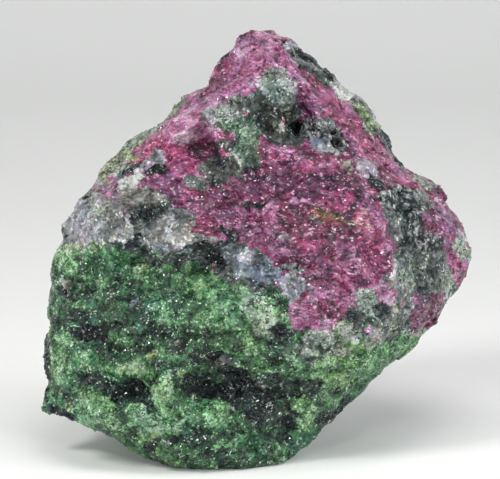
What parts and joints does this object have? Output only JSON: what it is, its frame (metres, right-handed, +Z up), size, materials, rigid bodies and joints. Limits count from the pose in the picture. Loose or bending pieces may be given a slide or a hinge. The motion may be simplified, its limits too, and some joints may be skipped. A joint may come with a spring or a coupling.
{
  "type": "ruby in zoisite specimen",
  "caption": "Hand-sized broken lump of green granular zoisite rock with red ruby, pale feldspar and black hornblende; stands on its own flat broken foot for display.",
  "frame": {"origin": "on the ground plane, under the middle of the specimen's bounding box", "axes": "+Z up as the specimen stands, +X to the right of the face with the ruby, +Y away from the viewer of that face"},
  "size_m": [0.0494, 0.0358, 0.0467],
  "materials": {
    "rock": "sugary broken rock: green zoisite, wine-red ruby, pale feldspar and black hornblende grains, glassy on each grain"
  },
  "bodies": {
    "root": {"ruby_zoisite_rock": "rock"}
  },
  "joints": []
}
